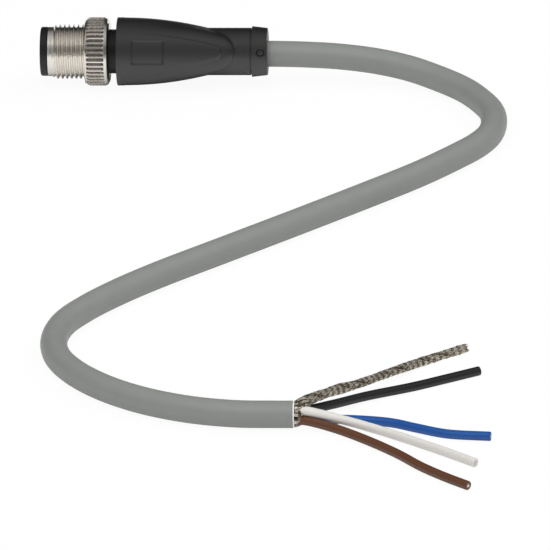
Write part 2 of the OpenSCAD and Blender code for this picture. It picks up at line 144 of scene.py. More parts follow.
def makePlastic(name, colour, roughness, grain, bump, speckle=0.12, specular=0.5, patch=3.2, spread=0.06):
    # moulded or extruded plastic: fine grain in the surface and a little unevenness in the colour;
    # grain and patch are widths in millimetres, and the grain is drawn coarser than the real one to show
    material, tree = newMaterial(name)
    place = addNode(tree, "ShaderNodeTexCoord")
    fine = addNode(tree, "ShaderNodeTexNoise", {"Scale": 1 / (grain * mm), "Detail": 3.0, "Roughness": 0.6},
                   {"Vector": place.outputs["Object"]})
    broad = addNode(tree, "ShaderNodeTexNoise", {"Scale": 1 / (patch * mm), "Detail": 2.0},
                    {"Vector": place.outputs["Object"]})
    dark = [c * (1 - speckle) for c in toLinear(colour)[:3]] + [1.0]
    light = [min(1.0, c * (1 + speckle)) for c in toLinear(colour)[:3]] + [1.0]
    tint = addNode(tree, "ShaderNodeMix", {"data_type": "RGBA", 6: dark, 7: light},
                   {0: broad.outputs["Fac"]})
    gloss = addNode(tree, "ShaderNodeMapRange", {"To Min": roughness - spread, "To Max": roughness + spread},
                    {"Value": fine.outputs["Fac"]})
    relief = addNode(tree, "ShaderNodeBump", {"Strength": bump, "Distance": grain * mm * 0.4},
                     {"Height": fine.outputs["Fac"]})
    shader = addNode(tree, "ShaderNodeBsdfPrincipled", {"IOR": 1.5, "Specular IOR Level": specular},
                     {"Base Color": tint.outputs[2], "Roughness": gloss.outputs["Result"],
                      "Normal": relief.outputs["Normal"]})
    finishMaterial(tree, shader)
    return material


def makeMetal(name, colour, shade, roughness, grain, bump, spread=0.05, step=0.5, metallic=1.0):
    # plated metal: the colour drifts between two tones, further with a small step, and fine marks
    # break up the gloss
    material, tree = newMaterial(name)
    place = addNode(tree, "ShaderNodeTexCoord")
    fine = addNode(tree, "ShaderNodeTexNoise", {"Scale": 1 / (grain * mm), "Detail": 4.0, "Roughness": 0.65},
                   {"Vector": place.outputs["Object"]})
    drift = addNode(tree, "ShaderNodeMapRange", {"From Min": 0.5 - step, "From Max": 0.5 + step},
                    {"Value": fine.outputs["Fac"]})
    tint = addNode(tree, "ShaderNodeMix", {"data_type": "RGBA", 6: toLinear(shade), 7: toLinear(colour)},
                   {0: drift.outputs["Result"]})
    gloss = addNode(tree, "ShaderNodeMapRange", {"To Min": roughness - spread, "To Max": roughness + spread},
                    {"Value": fine.outputs["Fac"]})
    relief = addNode(tree, "ShaderNodeBump", {"Strength": bump, "Distance": grain * mm * 0.3},
                     {"Height": fine.outputs["Fac"]})
    shader = addNode(tree, "ShaderNodeBsdfPrincipled", {"Metallic": metallic},
                     {"Base Color": tint.outputs[2], "Roughness": gloss.outputs["Result"],
                      "Normal": relief.outputs["Normal"]})
    finishMaterial(tree, shader)
    return material


# turned and plated, nearly a mirror: it shows the room
nickel = makeMetal("nickel-plated brass, turned", "#f3efe9", "#e6e1d9", 0.08, 0.9, 0.2, spread=0.03)
# the knurl's walls, torn a little by the roller: satin, with light and dark flecks
satinNickel = makeMetal("nickel-plated brass, rolled walls", "#ded8d0", "#8f8982", 0.38, 0.25, 0.9,
                        step=0.12, metallic=0.7)
# the bottom of the knurl: painted shade, a darker grey standing in for the light that hardly gets in
knurlShadeNickel = makeMetal("nickel-plated brass, painted shade in the knurl", "#928c85", "#5f5a55", 0.42, 0.25, 0.9, step=0.15)
# a spring ring, stamped and plated: a softer gloss
springNickel = makeMetal("nickel-plated spring bronze", "#cfc8bc", "#bdb5a8", 0.22, 0.5, 0.2)
# thin gold over nickel: warm and fairly bright
gold = makeMetal("gold-plated brass contact", "#e8c27a", "#d9ae62", 0.2, 0.4, 0.15)
# drawn and tinned strands: pale, slightly warm and uneven
tinned = makeMetal("tinned copper wire", "#fffaf0", "#cfc5b2", 0.34, 0.5, 0.3, step=0.12, metallic=0.8)
# painted shade: a darker, brownish copy of the same strands for where they face away, as they mirror each
# other and not the room
tinnedPaintedShade = makeMetal("tinned copper wire, painted shade", "#b5aa96", "#6a6150", 0.36, 0.5, 0.3, step=0.12)
# moulded against a smooth tool: black with a soft sheen
carrierPlastic = makePlastic("glass-filled polyamide, moulded black", "#0b0a0d", 0.42, 0.12, 0.25)
# moulded against a spark-eroded tool: matt black that greys where the light grazes it
gripPlastic = makePlastic("polyurethane overmould, matt black", "#101011", 0.44, 0.1, 0.3, specular=1.0)
# the narrow neck lies in the screw's shade: painted shade, a darker black than the grip's
neckShadePlastic = makePlastic("polyurethane overmould, smooth neck in painted shade", "#09090b", 0.4, 0.1, 0.1, specular=0.4)
# extruded: an even grey with a faint sheen along its top
jacketPlastic = makePlastic("PVC cable jacket, grey", "#878a86", 0.46, 0.2, 0.15, speckle=0.05)
# the cut end and its bevel are coloured near white, so the cut shows as a thin light line
cutPlastic = makePlastic("PVC cable jacket, cut edge", "#f0f0ee", 0.5, 0.2, 0.15, speckle=0.03)
# extruded insulation: smooth, with a soft line of light along each wire
wirePlastics = {
    "brown": makePlastic("PVC insulation, brown", "#5c3823", 0.38, 0.25, 0.12, speckle=0.06),
    "white": makePlastic("PVC insulation, white", "#dddad5", 0.4, 0.25, 0.12, speckle=0.02),
    "blue": makePlastic("PVC insulation, blue", "#124e97", 0.4, 0.25, 0.12, speckle=0.06),
    "black": makePlastic("PVC insulation, black", "#1a1b1d", 0.42, 0.25, 0.12, speckle=0.1),
}

# the model's own pieces, seen wherever this script doesn't replace them
nodeMaterials = {
    "coupling_screw": nickel, "contact_ring": springNickel, "contact_carrier": carrierPlastic,
    "shield_sleeve": nickel, "braid_cuff": tinned, "crimp_ferrule": nickel, "grip_body": gripPlastic,
    "cable": jacketPlastic, "braid_pigtail": tinned,
}
for number in range(1, 5):
    nodeMaterials["contact_pin_%d" % number] = gold
for colour, plastic in wirePlastics.items():
    nodeMaterials["core_" + colour] = nodeMaterials["lead_" + colour] = plastic
for name, material in nodeMaterials.items():
    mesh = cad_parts[name].data
    for i in range(len(mesh.materials)):
        mesh.materials[i] = material
print("materials made")


# cords

cableSet = {"diameter": 5.7, "length": 280, "exit": (49.7, 0, -0.55), "sides": 48, "step": 1.2,
            "wall": 0.24, "cut": 0.25, "cutFall": 0.12, "boreDepth": 4}
# edge is the cut end's rounding, as pairs of (distance past the end, drop below the surface)
wireSet = {"diameter": 1.95, "sides": 28, "step": 0.5, "inside": 2.6, "gather": 0.8,
           "edge": ((-0.14, 0), (-0.04, 0.05), (0, 0.15)), "recess": 0.1, "copper": 0.8,
           "strand": 0.26, "strandSides": 10, "strandTurn": 0.4, "strandDepth": 0.2, "proud": 0.02}
cableRoute = [
    (45.7, 0, -0.55), (48.7, 0, -0.55), (50.7, 0, -0.55), (57.7, -0.2, -0.62), (65.7, -0.3, -1.08),
    (73.7, -0.5, -2.1), (80.7, -1.6, -3.3), (86.9, -4.7, -4.2), (92.8, -9.8, -4.6),
    (96.8, -15.8, -4.65), (99.4, -21.8, -4.65), (100.1, -27.8, -4.65), (99.3, -33.8, -4.65),
    (96.9, -39.1, -4.65), (92.9, -44.6, -4.65), (84.9, -54.1, -4.65), (74.9, -64.2, -4.65),
    (59.9, -78.8, -4.65), (44.9, -93.1, -4.65), (31.9, -105.5, -4.65), (23.9, -114.1, -4.65),
    (17.5, -122.4, -4.65), (13.4, -129.8, -4.65), (11.9, -137.8, -4.65), (13.1, -145.8, -4.65),
    (16.9, -153.2, -4.65), (23.4, -160.6, -4.65), (31.9, -166.8, -4.65), (41.9, -171.2, -4.65),
    (51.9, -173.3, -4.65), (59.9, -173.5, -4.65), (64.05, -173.5, -4.65),
]
wireRoutes = {
    "brown": [
        (64.05, -174.85, -5.4), (66.05, -174.85, -5.4), (72.35, -177.4, -5.9), (79.15, -181.9, -6.4),
        (85.85, -188.15, -6.52), (91.15, -194.3, -6.52), (96.15, -199.05, -6.52),
        (101.05, -203.1, -6.52)],
    "white": [
        (64.05, -174.05, -3.55), (66.05, -174.05, -3.55), (73.85, -175.6, -4.8), (82.15, -178, -6.2),
        (88.85, -182.1, -6.52), (95.75, -187.3, -6.52), (102.15, -192.4, -6.52)],
    "blue": [
        (64.05, -173, -6.1), (66.05, -173, -6.1), (75.35, -172.3, -6.4), (83.85, -173.45, -6.52),
        (89.35, -176, -6.52), (95.65, -178.7, -6.52), (104.85, -179.85, -6.52)],
    "black": [
        (64.05, -172.03, -4.38), (66.05, -172.03, -4.38), (71.35, -167.5, -5.3), (78.25, -161.5, -6.2),
        (87.85, -156.2, -6.52), (94.35, -152.5, -6.52), (101.35, -148.4, -6.52)],
}


def smoothRoute(route, step, perSpan=24):
    # a centripetal Catmull-Rom curve through the route's points, resampled at even steps
    p = np.array(route, float)
    p = np.vstack([2 * p[0] - p[1], p, 2 * p[-1] - p[-2]])
    fine = []
    for i in range(1, len(p) - 2):
        p0, p1, p2, p3 = p[i - 1:i + 3]
        t0 = 0.0
        t1 = t0 + np.linalg.norm(p1 - p0) ** 0.5
        t2 = t1 + np.linalg.norm(p2 - p1) ** 0.5
        t3 = t2 + np.linalg.norm(p3 - p2) ** 0.5
        for t in np.linspace(t1, t2, perSpan, endpoint=False):
            a1 = (t1 - t) / (t1 - t0) * p0 + (t - t0) / (t1 - t0) * p1
            a2 = (t2 - t) / (t2 - t1) * p1 + (t - t1) / (t2 - t1) * p2
            a3 = (t3 - t) / (t3 - t2) * p2 + (t - t2) / (t3 - t2) * p3
            b1 = (t2 - t) / (t2 - t0) * a1 + (t - t0) / (t2 - t0) * a2
            b2 = (t3 - t) / (t3 - t1) * a2 + (t - t1) / (t3 - t1) * a3
            fine.append((t2 - t) / (t2 - t1) * b1 + (t - t1) / (t2 - t1) * b2)
    fine = np.array(fine + [p[-2]])
    along = np.concatenate([[0], np.cumsum(np.linalg.norm(np.diff(fine, axis=0), axis=1))])
    count = max(2, int(round(along[-1] / step)) + 1)
    even = np.linspace(0, along[-1], count)
    return np.stack([np.interp(even, along, fine[:, k]) for k in range(3)], 1), even


def routeFrames(points):
    # heading, side and up at each point, turning as little as possible along the route
    heading = np.gradient(points, axis=0)
    heading /= np.linalg.norm(heading, axis=1)[:, None]
    side = unit(np.cross([0, 0, 1], heading[0]))
    sides = []
    for h in heading:
        side = unit(side - h * (side @ h))
        sides.append(side)
    sides = np.array(sides)
    return heading, sides, np.cross(heading, sides)


def ringRows(points, frames, radii, sides):
    # a ring of points round each point of a route
    side, up = frames[1:]
    turn = np.linspace(0, 2 * math.pi, sides, endpoint=False)
    wheel = np.cos(turn)[None, :, None] * side[:, None, :] + np.sin(turn)[None, :, None] * up[:, None, :]
    return points[:, None, :] + np.asarray(radii)[:, None, None] * wheel


def sweptTube(name, route, step, sides, radius, endProfile, materials, endMaterials):
    # a round cord: endProfile is the cut end, as (distance past the end, radius) pairs from the outside in
    points, along = smoothRoute(route, step)
    frames = routeFrames(points)
    rows = [ringRows(points[:-1], [v[:-1] for v in frames], [radius] * (len(points) - 1), sides)]
    last = [v[-1:] for v in frames]
    for past, r in endProfile:
        rows.append(ringRows(points[-1:] + last[0] * past, last, [r], sides))
    grid = np.vstack(rows)
    faces = gridFaces(len(grid), sides)
    firstEnd = len(points) - 2
    faceMaterial = [0] * (firstEnd * sides)
    for m in endMaterials:
        faceMaterial += [m] * sides
    faces.append(tuple(range(sides))[::-1])
    faces.append(tuple(range((len(grid) - 1) * sides, len(grid) * sides)))
    faceMaterial += [0, endMaterials[-1]]
    piece = meshObject(name, grid.reshape(-1, 3), faces, materials, faceMaterial, sharp=50)
    return piece, points, along[-1]


def makeCable(s):
    # the jacket's cut edge is slightly bevelled, and the bore that the wires leave by is darkened with
    # painted shade, in the black insulation
    r = s["diameter"] / 2
    profile = [(-s["cut"], r), (0, r - s["cutFall"]), (0, r - s["wall"]), (-s["boreDepth"], r - s["wall"])]
    cable, points, length = sweptTube("cableJacket", cableRoute, s["step"], s["sides"], r, profile,
                                      [jacketPlastic, cutPlastic, wirePlastics["black"]], [0, 1, 1, 2])
    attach(cable, "plug")
    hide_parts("cable")
    return length


def strandEnds(centre, heading, side, up, s):
    # seven copper strands, one in the middle and six round it, with slightly domed ends
    points, faces = [], []
    sides = s["strandSides"]
    turn = np.linspace(0, 2 * math.pi, sides, endpoint=False)
    for k in range(7):
        a = math.pi / 3 * k + s["strandTurn"]
        middle = centre + (0 if k == 6 else s["strand"]) * (math.cos(a) * side + math.sin(a) * up)
        first = len(points)
        proud = s["proud"] * (1 + 0.5 * math.sin(5 * k))  # no two quite alike
        for past, r in ((-s["recess"] - s["strandDepth"], 0.5), (proud - 0.05, 0.5), (proud, 0.36)):
            r *= s["strand"]
            points += [middle + heading * past + r * (math.cos(t) * side + math.sin(t) * up) for t in turn]
        faces += gridFaces(3, sides, first)
        faces.append(tuple(range(first + 2 * sides, first + 3 * sides)))
    return points, faces


def makeWire(colour, plastic, s):
    r, copper = s["diameter"] / 2, s["copper"] / 2
    route = wireRoutes[colour]
    # the wires lie closer together inside the jacket
    inside = np.array([route[0][0] - s["inside"], cableRoute[-1][1], cableRoute[-1][2]])
    start = inside + (np.array(route[0]) - s["inside"] * np.array([1, 0, 0]) - inside) * s["gather"]
    profile = [(past, r - drop) for past, drop in s["edge"]] + [(0, copper), (-s["recess"], copper)]
    wire, points, length = sweptTube("wire" + colour.capitalize(), [tuple(start)] + route, s["step"],
                                     s["sides"], r, profile, [plastic], [0, 0, 0, 0, 0])
    heading, side, up = (v[-1] for v in routeFrames(points))
    tips, tipFaces = strandEnds(points[-1], heading, side, up, s)
    strands = meshObject("strands" + colour.capitalize(), tips, tipFaces, [tinned])
    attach(wire, "plug")
    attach(strands, "plug")
    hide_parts("lead_" + colour)
    free = length - s["inside"]
    return free


print("cable %.1f mm" % makeCable(cableSet))
for colour, plastic in wirePlastics.items():
    print("wire %s %.1f mm" % (colour, makeWire(colour, plastic, wireSet)))


# the screen, gathered from a ring round the wires into a flat braid

# ragged is how many steps short of the end a strand may stop, and stray the share of strands whose painted
# shade is swapped against the way they run
braidSet = {"diameter": 1.6, "step": 0.3, "carriers": 8, "strands": 5, "strand": 0.15, "strandSides": 5,
            "spacing": 0.17, "squeeze": 0.35, "weave": 0.06, "uneven": 0.02, "lay": 13.0, "ripple": 0.04,
            "tilt": 62, "wander": 14, "ragged": 4, "stray": 0.2, "core": 0.85, "coreSides": 16,
            "ground": -7.5, "seed": 4}
# the cuff starts round the wires, in the middle of the cable, and then takes the pigtail's route
braidRoute = [
    (62.4, -173.5, -4.65), (64.05, -173.5, -4.65), (66.05, -172.3, -2.55), (70.45, -168.2, -2.3),
    (76.85, -160.4, -3.8), (84.25, -150.1, -5.6), (90.75, -142.7, -6.6), (98.45, -136.9, -6.6)]
# (distance along the route, half width, half thickness)
braidGirth = [(0, 2.5, 2.5), (1.9, 2.48, 2.48), (2.8, 2.15, 2.1), (3.9, 1.7, 1.6), (5, 1.3, 1.15),
              (6.6, 1.05, 0.85), (8.9, 0.92, 0.65), (11.3, 0.92, 0.6), (14, 1.05, 0.55),
              (17, 0.98, 0.55), (20, 0.86, 0.52), (41, 0.92, 0.5), (44, 0.84, 0.45)]


def makeBraid(s):
    points, along = smoothRoute(braidRoute, s["step"])
    side, up = routeFrames(points)[1:]
    stations, widths, depths = np.array(braidGirth).T
    ripple = 1 + s["ripple"] * (np.sin(along * 0.9) + 0.6 * np.sin(along * 2.1 + 1))
    wide = np.interp(along, stations, widths) * ripple
    flat = np.interp(along, stations, depths) / ripple
    drawn = np.clip((widths[0] - wide) / (widths[0] - widths[-1]), 0, 1)
    lean = np.radians(s["tilt"] + s["wander"] * np.sin(along * 0.16))
    broad = np.cos(lean)[:, None] * side + np.sin(lean)[:, None] * up
    thin = np.cos(lean)[:, None] * up - np.sin(lean)[:, None] * side
    turned = 2 * math.pi * along / s["lay"]
    radius = np.sqrt((wide ** 2 + flat ** 2) / 2)
    sides = s["strandSides"]
    corners = np.linspace(0, 2 * math.pi, sides, endpoint=False)
    dice = np.random.default_rng(s["seed"])
    places, faces, faceMaterial = [], [], []

    def onOval(u, out):
        # a point on the oval section, moved outwards by out
        normal = (np.cos(u) / wide)[:, None] * broad + (np.sin(u) / flat)[:, None] * thin
        normal /= np.linalg.norm(normal, axis=1)[:, None]
        base = points + (wide * np.cos(u))[:, None] * broad + (flat * np.sin(u))[:, None] * thin
        return base + normal * np.asarray(out)[:, None], normal

    for way in (1, -1):
        for carrier in range(s["carriers"]):
            for strand in range(s["strands"]):
                # where the braid is drawn out flat, every other strand sinks behind its neighbours
                aside = (strand - (s["strands"] - 1) / 2) * s["spacing"] * (1 - s["squeeze"] * drawn)
                u = 2 * math.pi * carrier / s["carriers"] + way * turned + aside / radius
                out = (way * s["weave"] * np.cos(s["carriers"] * turned)
                       + s["uneven"] * dice.standard_normal() - drawn * s["strand"] * (strand % 2))
                path, normal = onOval(u, out)
                path = path[:len(path) - dice.integers(0, s["ragged"] + 1)]
                # it lies flat where it rests on the ground
                path[:, 2] = np.maximum(path[:, 2], s["ground"] + s["strand"] / 2)
                normal = normal[:len(path)]
                tangent = np.gradient(path, axis=0)
                tangent /= np.linalg.norm(tangent, axis=1)[:, None]
                across = np.cross(tangent, normal)
                across /= np.linalg.norm(across, axis=1)[:, None]
                rows = path[:, None, :] + s["strand"] / 2 * (
                    np.cos(corners)[None, :, None] * normal[:, None, :]
                    + np.sin(corners)[None, :, None] * across[:, None, :])
                first = sum(len(p) for p in places)
                end = first + sides * len(path)
                places.append(rows.reshape(-1, 3))
                faces += gridFaces(len(path), sides, first)
                faces.append(tuple(range(end - sides, end)))
                # painted shade: the strands that run one way keep the plain tinned colour, and most of the
                # others get the darker copy, as if turned away from the light
                shade = int((way < 0) != (dice.random() < s["stray"]))
                faceMaterial += [shade] * (sides * (len(path) - 1) + 1)
    braid = meshObject("braid", np.vstack(places), faces, [tinned, tinnedPaintedShade], faceMaterial, sharp=80)
    # a dark core in painted shade from the jacket's cut on, so that the braid isn't seen through
    hidden = cableRoute[-1][0] - braidRoute[0][0]
    whole = len(points) - s["ragged"]
    sides = s["coreSides"]
    inner = np.linspace(0, 2 * math.pi, sides, endpoint=False)
    rows = points[:, None, :] + s["core"] * (
        (wide[:, None] * np.cos(inner))[:, :, None] * broad[:, None, :]
        + (flat[:, None] * np.sin(inner))[:, :, None] * thin[:, None, :])
    rows = rows[:whole][along[:whole] > hidden]
    end = sides * len(rows)
    coreFaces = gridFaces(len(rows), sides) + [tuple(range(sides)), tuple(range(end - sides, end))]
    core = meshObject("braidCore", rows.reshape(-1, 3), coreFaces, [tinnedPaintedShade])
    for piece in (braid, core):
        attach(piece, "plug")
    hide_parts("braid_pigtail")
    # the cord ends where all of its strands still run
    free = along[whole - 1] - hidden
    return free


print("braid %.1f mm" % makeBraid(braidSet))


# coupling screw: plain lead, rolled thread and knurled ring

# places along the axis, radii and sizes in millimetres; tip says how fast a groove closes at its ends
screwSet = {"front": 1.55, "leadRadius": 5.425, "leadChamfer": 0.22, "leadFall": 0.2, "boreRadius": 4.8,
            "threadStart": 2.45, "fade": 1.1, "crestRadius": 6.0, "rootRadius": 5.36, "pitch": 1.0,
            "crestAt": 0.307, "edge": 0.07,
            "knurlFront": 9.75, "end": 15.1, "knurlRadius": 7.5, "ridges": 44, "turn": 3.0,
            "frontRadius": 6.9, "frontChamfer": 1.05, "rimRadius": 7.25, "rim": 0.6,
            "rearRadius": 6.6, "rearChamfer": 0.4, "grooveStart": 10.25, "grooveEnd": 14.12,
            "grooveWidth": 0.84, "grooveDepth": 0.46, "steepness": 2.2, "tip": 1.3,
            "recess": 2.0, "recessRadius": 4.985, "seat": (11.8, 12.8), "seatRadius": 5.35}
# one turn of the thread's section, as (share of the pitch, height from 0 to 1), crest first
threadProfile = [(0.0, 1.0), (0.05, 0.985), (0.1, 0.9), (0.24, 0.5), (0.39, 0.08), (0.44, 0.0),
                 (0.56, 0.0), (0.61, 0.08), (0.76, 0.5), (0.9, 0.9), (0.95, 0.985)]


def makeScrew(s):
    pitchAround = 2 * math.pi * s["knurlRadius"] / s["ridges"]
    flat = 0.5 - s["grooveWidth"] / 2 / pitchAround
    wall = s["grooveDepth"] / s["steepness"] / pitchAround
    # the columns of one ridge and its groove, as shares of the way to the next ridge
    perRidge = (-flat, 0.0, flat, flat + 0.5 * wall, flat + wall, 0.5, 1 - flat - wall, 1 - flat - 0.5 * wall)
    shares = np.array([(k + u) / s["ridges"] for k in range(s["ridges"]) for u in perRidge])
    fromRidge = np.array([abs(u if u <= 0.5 else u - 1) for u in perRidge] * s["ridges"])
    angle = shares * 2 * math.pi + math.radians(s["turn"])
    columns = len(angle)
    shapeU, shapeH = np.array(threadProfile + [(1.0, 1.0)]).T

    def threadRadius(x, phi):
        u = np.mod((x - s["crestAt"]) / s["pitch"] - phi / (2 * math.pi), 1.0)
        deep = s["rootRadius"] + (s["crestRadius"] - s["rootRadius"]) * np.interp(u, shapeU, shapeH)
        # crests rise from the plain lead before the grooves between them reach full depth
        rise = np.clip((x - s["threadStart"]) / s["fade"], 0, 1)
        rise = np.where(deep < s["leadRadius"], rise ** 3, rise)
        return s["leadRadius"] + (deep - s["leadRadius"]) * rise

    rimEnd = s["end"] - s["rearChamfer"]
    rimStart = rimEnd - s["rim"]
    middle = s["knurlFront"] + s["frontChamfer"]
    outline = np.array([(s["knurlFront"], s["frontRadius"]), (middle, s["knurlRadius"]),
                        (rimStart, s["knurlRadius"]), (rimEnd, s["rimRadius"]),
                        (s["end"], s["rearRadius"])])
    aside = (0.5 - fromRidge) * pitchAround  # distance from the middle of the groove

    def knurlRow(x):
        # a groove is a trapezium across, and comes to a point at both ends
        reach = min(x - s["grooveStart"], s["grooveEnd"] - x)
        side = s["steepness"] * (s["grooveWidth"] / 2 - aside)
        deep = np.clip(np.minimum(side, s["tip"] * reach - aside), 0, s["grooveDepth"])
        return np.minimum(np.interp(x, outline[:, 0], outline[:, 1]), s["knurlRadius"] - deep)

    def ring(x, r):
        x = np.broadcast_to(x, columns)
        r = np.broadcast_to(r, columns)
        return np.stack([x, -r * np.sin(angle), r * np.cos(angle)], 1)

    edge = s["edge"]
    rows = [ring(s["front"] + edge, s["boreRadius"]), ring(s["front"], s["boreRadius"] + edge),
            ring(s["front"], s["leadRadius"] - s["leadFall"]),
            ring(s["front"] + s["leadChamfer"] - edge, s["leadRadius"] - 0.3 * edge),
            ring(s["front"] + s["leadChamfer"] + edge, s["leadRadius"])]
    # each row of the thread climbs by one pitch on its way round, and the ends are cut off straight
    turns = int((s["knurlFront"] - s["threadStart"]) / s["pitch"]) + 3
    firstCrest = s["threadStart"] // s["pitch"] * s["pitch"] + s["crestAt"]
    firstThread = len(rows)
    for along in [k + u for k in range(-2, turns) for u in shapeU[:-1]]:
        x = firstCrest + (along + angle / (2 * math.pi)) * s["pitch"]
        x = np.clip(x, s["threadStart"], s["knurlFront"])
        rows.append(ring(x, threadRadius(x, angle)))
    lastThread = len(rows) - 1
    rows.append(ring(s["knurlFront"], s["frontRadius"] - edge))
    # rows across the knurl, closer together at the edges and where the grooves run out
    stations = np.unique(np.round(np.concatenate([
        [s["knurlFront"] + 0.04], np.arange(s["grooveStart"] - 0.1, s["grooveStart"] + 0.9, 0.1),
        [middle - 0.05, middle + 0.05], np.linspace(middle + 0.4, s["grooveEnd"] - 1.1, 4),
        np.arange(s["grooveEnd"] - 0.8, s["grooveEnd"] + 0.12, 0.1), [rimStart - 0.04, rimStart + 0.06],
        [rimEnd - 0.06, rimEnd + 0.03, s["end"] - 0.05]]), 3))
    rows += [ring(at, knurlRow(at)) for at in stations]
    lastGroove = len(rows)
    rows += [ring(s["end"], s["rearRadius"] - edge), ring(s["end"], s["recessRadius"] + edge),
             ring(s["end"] - edge, s["recessRadius"]), ring(s["end"] - s["recess"], s["recessRadius"]),
             ring(s["end"] - s["recess"], s["boreRadius"]),
             ring(s["seat"][1], s["boreRadius"]), ring(s["seat"][1], s["seatRadius"]),
             ring(s["seat"][0], s["seatRadius"]), ring(s["seat"][0], s["boreRadius"])]
    # the thread's rows start one turn lower at the seam, so its last column is its first a turn on
    perTurn = len(threadProfile)
    grid = np.array(rows)
    points = list(grid.reshape(-1, 3))
    total = len(rows)
    faces, faceMaterial = [], []
    for i in range(total):
        below = (i + 1) % total
        for j in range(columns):
            last = j == columns - 1
            a, b = i * columns + j, i * columns + (j + 1) % columns
            c, d = below * columns + (j + 1) % columns, below * columns + j
            if last and firstThread <= i <= lastThread:
                b = min(i + perTurn, lastThread) * columns
            if last and firstThread <= below <= lastThread:
                c = min(below + perTurn, lastThread) * columns
            faces.append((a, b, c, d))
            # polished ridges, satin walls and a bottom in painted shade
            centre = (fromRidge[j] + fromRidge[(j + 1) % columns]) / 2
            inGroove = s["grooveStart"] - 0.02 < rows[i][0, 0] < s["grooveEnd"] and i > lastThread
            depth = int(centre > 1.02 * flat) + int(centre > flat + 0.98 * wall)
            faceMaterial.append(depth if inGroove and i < lastGroove else 0)
    return meshObject("couplingScrew", points, faces, [nickel, satinNickel, knurlShadeNickel], faceMaterial,
                      sharp=38, merge=0.0005)


screw = makeScrew(screwSet)
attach(screw, "screw")
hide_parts("coupling_screw")
print("coupling screw made")


# moulded grip, with two stepped arches on its front and back

gripSet = {"neckStart": 14.9, "neckRadius": 4.835, "front": 16.8, "taper": 18.4, "radius": 7.42,
           "edge": 0.14, "barrel": 36.5, "barrelRadius": 5.195, "collar": 46.3, "collarStep": 0.36,
           "collarFall": 0.38, "seam": 0.2, "end": 49.7, "boreRadius": 2.87, "boreDrop": 0.55, "roll": 21,
           "blend": 0.22, "columns": 320, "rowStep": 0.3, "fineStep": 0.14}
# spread is how far out an arch's foot reaches, and round how softly its edge is rolled
outerArch = {"halfWidth": 7.27, "flankLength": 18.1, "nose": 42.9, "noseRadius": 4.25, "fall": 1.0,
             "start": 0.1, "spread": 2.6, "round": 1.9}
innerArch = {"halfWidth": 4.75, "flankLength": 19.9, "flankRadius": 78, "nose": 39.9, "noseRadius": 1.6,
             "fall": 0.4, "start": 0.03, "spread": 0.7, "round": 0.5}
recessSet = {"start": 20.1, "length": 7.2, "width": 5.4, "depth": 0.3, "corner": 0.6, "slope": 0.3}
markSet = {"at": 48.3, "radius": 0.95, "ring": 0.34, "depth": 0.25}


def fallingRadius(x, start, run, drop):
    # an arc that starts level and falls by drop over run
    r = (run * run + drop * drop) / (2 * drop)
    t = np.clip(x - start, 0, run)
    return r - np.sqrt(r * r - t * t)


def bodyRadius(x, s):
    drop = s["radius"] - s["barrelRadius"]
    taper = s["radius"] - fallingRadius(x, s["taper"], s["barrel"] - s["taper"], drop)
    t = np.clip(x - s["front"], 0, s["edge"])
    front = s["edge"] - np.sqrt(np.maximum(s["edge"] ** 2 - (s["edge"] - t) ** 2, 0))
    return taper - front


def archOutline(x0, arch, flankDrop):
    # upper half of an arch seen from the front: level-starting flank, tangent line, round nose
    xs = x0 + np.linspace(0, arch["flankLength"], 25)
    flank = list(zip(xs, arch["halfWidth"] - fallingRadius(xs, x0, arch["flankLength"], flankDrop)))
    centre = arch["nose"] - arch["noseRadius"]
    ahead, height = centre - flank[-1][0], flank[-1][1]
    lean = math.asin(arch["noseRadius"] / math.hypot(ahead, height)) - math.atan2(height, ahead)
    nose = [(centre + arch["noseRadius"] * math.cos(a), arch["noseRadius"] * math.sin(a))
            for a in np.linspace(math.pi / 2 + lean, 0, 20)]
    return np.array(flank + nose)


def outsideBy(x, z, outline):
    # signed distance to an arch's outline, mirrored about its middle: negative inside
    z = np.abs(z)
    best = np.full(x.shape, 1e9)
    for p, d in zip(outline[:-1], np.diff(outline, axis=0)):
        t = np.clip(((x - p[0]) * d[0] + (z - p[1]) * d[1]) / (d @ d), 0, 1)
        best = np.minimum(best, np.hypot(x - p[0] - t * d[0], z - p[1] - t * d[1]))
    edgeAt = np.interp(x, outline[:, 0], outline[:, 1], right=-1)
    return np.where((z < edgeAt) & (x < outline[-1, 0]), -best, best)


def smoothMax(a, b, k):
    # the larger of two, with a rounded corner about k wide where they meet
    h = np.maximum(k - np.abs(a - b), 0) / k
    return np.maximum(a, b) + h * h * k / 4


def archSurface(x, r, z, arch, outline, start, s):
    # negative inside a raised arch: below its face and within its outline
    face = s["radius"] - arch["start"] - fallingRadius(x, start, arch["nose"] - start, arch["fall"])
    over = outsideBy(x, z, outline) * arch["round"] / arch["spread"]
    return smoothMax(r - face, over, arch["round"])


